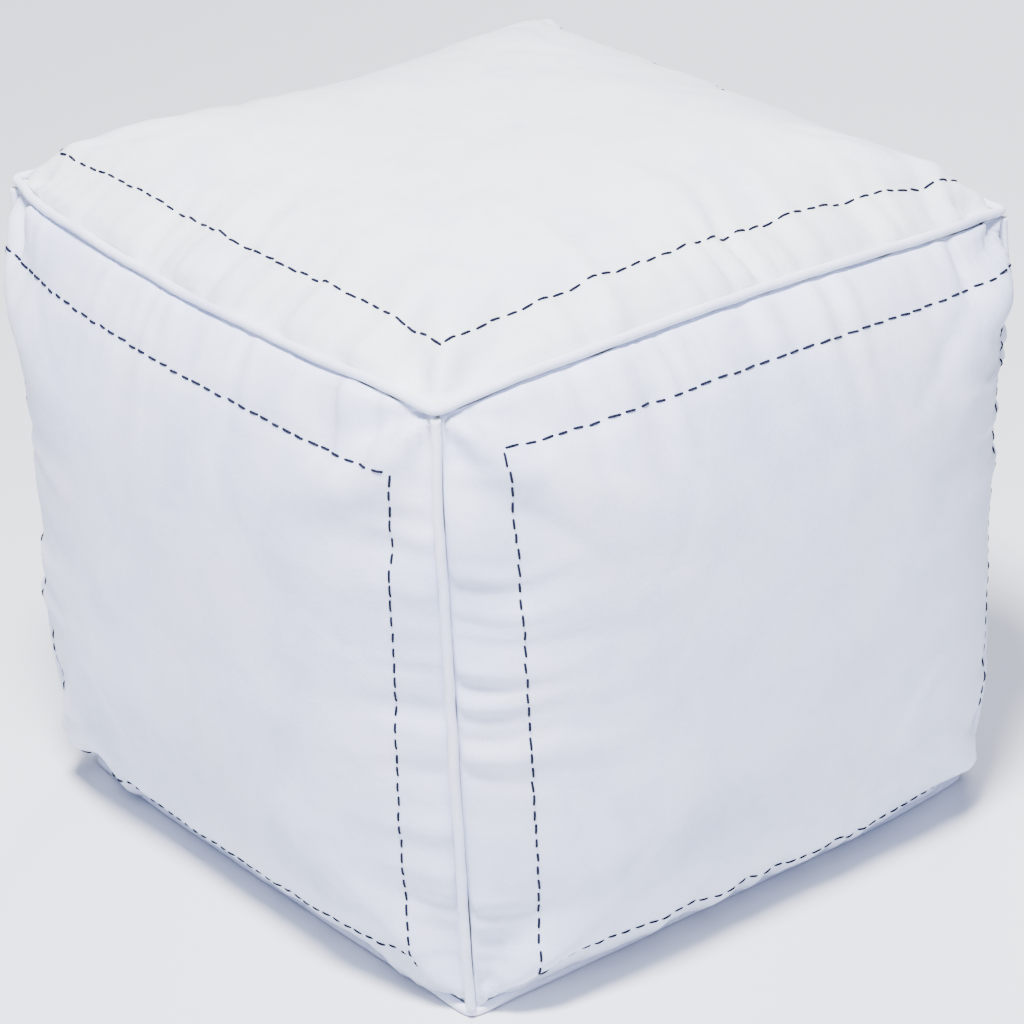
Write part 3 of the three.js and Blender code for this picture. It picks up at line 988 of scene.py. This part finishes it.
def besideZip(x, gap):
    # height and distance from the zip's middle of base leather that lies flat at that gap
    opened = lipShare(x)
    room = base["lipReach"]
    out = base["seamGap"] + (lipHalf - base["seamGap"]) * opened
    y = out + gap * (room - out) / room if gap < room else gap
    rise = lipRise * opened * (1 - smoothStep(out + base["lipFlat"], room, y))
    return rise, y


def everything(bm):
    return bm.verts[:] + bm.edges[:] + bm.faces[:]


def addBase():
    for name, side in (("front", -1), ("back", 1)):
        bm = cutFace("base")
        turnInEdge(bm, frames)
        if sum((f.normal.z for f in bm.faces), 0) > 0:
            bmesh.ops.reverse_faces(bm, faces=bm.faces[:])
        bmesh.ops.bisect_plane(
            bm, geom=everything(bm), dist=tiny, plane_co=(0, 0, 0), plane_no=(0, -side, 0),
            clear_outer=True)
        for gap in base["loops"]:
            bmesh.ops.bisect_plane(
                bm, geom=everything(bm), dist=tiny, plane_co=(0, side * gap, 0), plane_no=(0, 1, 0))
        for v in bm.verts:
            gap = max(0, side * v.co.y)
            if gap < base["lipReach"]:
                rise, y = besideZip(v.co.x, gap)
                v.co.y = side * y
                v.co.z += rise
        obj = makeObject(f"base_{name}_leather", bm, leatherBase)
        addThickness(obj, base["leather"])
        soft = obj.modifiers.new("rounded_edge", "BEVEL")
        soft.width = base["rounding"]
        soft.segments = 2
        soft.limit_method = "ANGLE"
        soft.angle_limit = math.radians(50)
        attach(obj, "cover")
        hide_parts(f"base_panel_{name}")


def addLipStitching():
    # two machine sewn rows that hold the tapes under the turned leather
    profile = [(0, -1), (0.12, 0.6), (0.5, 1), (0.88, 0.6), (1, -1)]
    routes = []
    count = round(2 * lipRun / base["stitchPitch"])
    for side in (-1, 1):
        for k in range(count):
            start = -lipRun + k * base["stitchPitch"]
            route = []
            for along, height in profile:
                x = start + along * base["stitchPitch"] * base["stitchShare"]
                y = lipHalf + base["stitchFromLip"]
                level = 1 - smoothStep(lipHalf + base["lipFlat"], base["lipReach"], y)
                rise = lipRise * lipShare(x) * level
                route.append(Vector((x, side * y, rise - base["stitchRise"] * height)))
            routes.append(route)
    obj = tube("zip_seam_stitches", routes, base["stitchThread"], seamThread, False, 0)
    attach(obj, "cover")


# Woven zip tape, folded over a cord at its inner edge.
tape = {
    "cloth": 0.00055,
    "ripple": 0.00012,
    "rippleSize": 0.006,
    "still": (0.004, 0.008),  # the ripple grows between these distances from the middle
    "edge": 0.0011,  # the thicker edge that carries the teeth
    "edgeRise": 0.0002,
    "squares": (158, 12),
}


def addTapes():
    long = tapeHigh.x - tapeLow.x
    wide = tapeHigh.y - tapeLow.y
    squaresLong, squaresWide = tape["squares"]
    for name, side in (("front", -1), ("back", 1)):
        bm = bmesh.new()
        bmesh.ops.create_grid(bm, x_segments=squaresLong, y_segments=squaresWide, size=0.5)
        bmesh.ops.scale(bm, vec=(long, wide, 1), verts=bm.verts[:])
        level = (tapeLow.z + tapeHigh.z) / 2
        middle = side * abs(tapeLow.y + tapeHigh.y) / 2
        bmesh.ops.translate(bm, vec=(0, middle, level), verts=bm.verts[:])
        for v in bm.verts:
            ripple = tape["ripple"] * noise.noise(v.co / tape["rippleSize"])
            v.co.z += ripple * smoothStep(*tape["still"], abs(v.co.y))
        reach = abs(middle) - wide / 2 + tape["edge"]
        edge = [f for f in bm.faces if abs(f.calc_center_median().y) < reach]
        bmesh.ops.inset_region(bm, faces=edge, thickness=tape["edgeRise"], depth=tape["edgeRise"])
        bmesh.ops.recalc_face_normals(bm, faces=bm.faces[:])
        if sum((f.normal.z for f in bm.faces), 0) > 0:
            bmesh.ops.reverse_faces(bm, faces=bm.faces[:])
        obj = makeObject(f"zip_tape_{name}_woven", bm, tapeWeave)
        wall = obj.modifiers.new("tape_thickness", "SOLIDIFY")
        wall.thickness = tape["cloth"]
        wall.offset = 0
        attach(obj, "cover")
        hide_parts(f"zip_tape_{name}")


inside = {
    "cells": 52,
    "seamExtra": 0.006,  # deeper under the seams, where the leather turns in
    "seamReach": 0.012,
    "linerCloth": 0.0012,
    "linerIn": 0.0068,  # below the leather's outer face
    "linerBase": 0.0113,
    "mouthLength": 0.25,
    "mouthWidth": 0.05,
    "stuffingIn": 0.0105,
    "stuffingBase": 0.0148,
    "clump": 0.0014,
    "clumpSizes": (0.035, 0.014),
}


def innerShell(depth, baseDepth, rounds):
    # a closed shell inside the cover, at a depth below its outer face
    finder = KDTree(len(coverMesh.verts))
    for v in coverMesh.verts:
        finder.insert(v[flatLayer], v.index)
    finder.balance()
    coverMesh.verts.ensure_lookup_table()
    bm = bmesh.new()
    bmesh.ops.create_cube(bm, size=2)
    bmesh.ops.subdivide_edges(
        bm, edges=bm.edges[:], cuts=inside["cells"] - 1, use_grid_fill=True)
    layer = bm.verts.layers.float_vector.new("flat")
    for v in bm.verts:
        flat = Vector((v.co.x * half, v.co.y * half, midZ + v.co.z * halfHeight))
        v[layer] = flat
        near = coverMesh.verts[finder.find(flat)[1]]
        gap = depth + inside["seamExtra"] * math.exp(-seamDistance(flat) / inside["seamReach"])
        v.co = near.co - near.normal * gap
    relax(bm, bm.verts[:], rounds)
    for v in bm.verts:
        v.co.z = max(v.co.z, baseDepth)
    bmesh.ops.recalc_face_normals(bm, faces=bm.faces[:])
    return bm, layer


def addLiner():
    bm, layer = innerShell(inside["linerIn"], inside["linerBase"], 4)
    mouth = []
    for f in bm.faces:
        middle = flatMiddle(f, layer)
        across = abs(middle.x) < inside["mouthLength"] / 2 and abs(middle.y) < inside["mouthWidth"] / 2
        if across and middle.z < baseSeamZ + tiny:
            mouth.append(f)
    # the calico's area, without the mouth
    area = sum(f.calc_area() for f in bm.faces) - sum(f.calc_area() for f in mouth)
    bmesh.ops.delete(bm, geom=mouth, context="FACES")
    obj = makeObject("inner_calico", bm, linerCotton)
    wall = obj.modifiers.new("cloth_thickness", "SOLIDIFY")
    wall.thickness = inside["linerCloth"]
    wall.offset = -1
    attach(obj, "cover")
    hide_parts("inner_liner")


def addStuffing():
    bm, _ = innerShell(inside["stuffingIn"], inside["stuffingBase"], 6)
    bm.normal_update()
    large, small = inside["clumpSizes"]
    for v in bm.verts:
        lumps = noise.noise(v.co / large) + 0.5 * noise.noise(v.co / small)
        v.co += v.normal * inside["clump"] * min(0, lumps - 0.2)
        v.co.z = max(v.co.z, inside["stuffingBase"])
    obj = makeObject("stuffing_wadding", bm, wadding)
    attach(obj, "cover")
    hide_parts("stuffing")


def finishZip():
    # the moulded and cast zip parts keep their shape and take a finish
    finishes = {
        "zip_teeth_front": acetal, "zip_teeth_back": acetal,
        "zip_stop_closed_end": nickel, "zip_stop_open_end": nickel,
        "zip_slider": nickel, "zip_pull_tab": nickel,
    }
    for name, finish in finishes.items():
        for place in bpy.data.objects[name].material_slots:
            place.material = finish


print("leather faces")
addPanels()
print("piping")
addPiping()
print("hand stitching")
addStitching()
print("base and zip")
addBase()
addLipStitching()
addTapes()
finishZip()
print("liner and stuffing")
addLiner()
addStuffing()
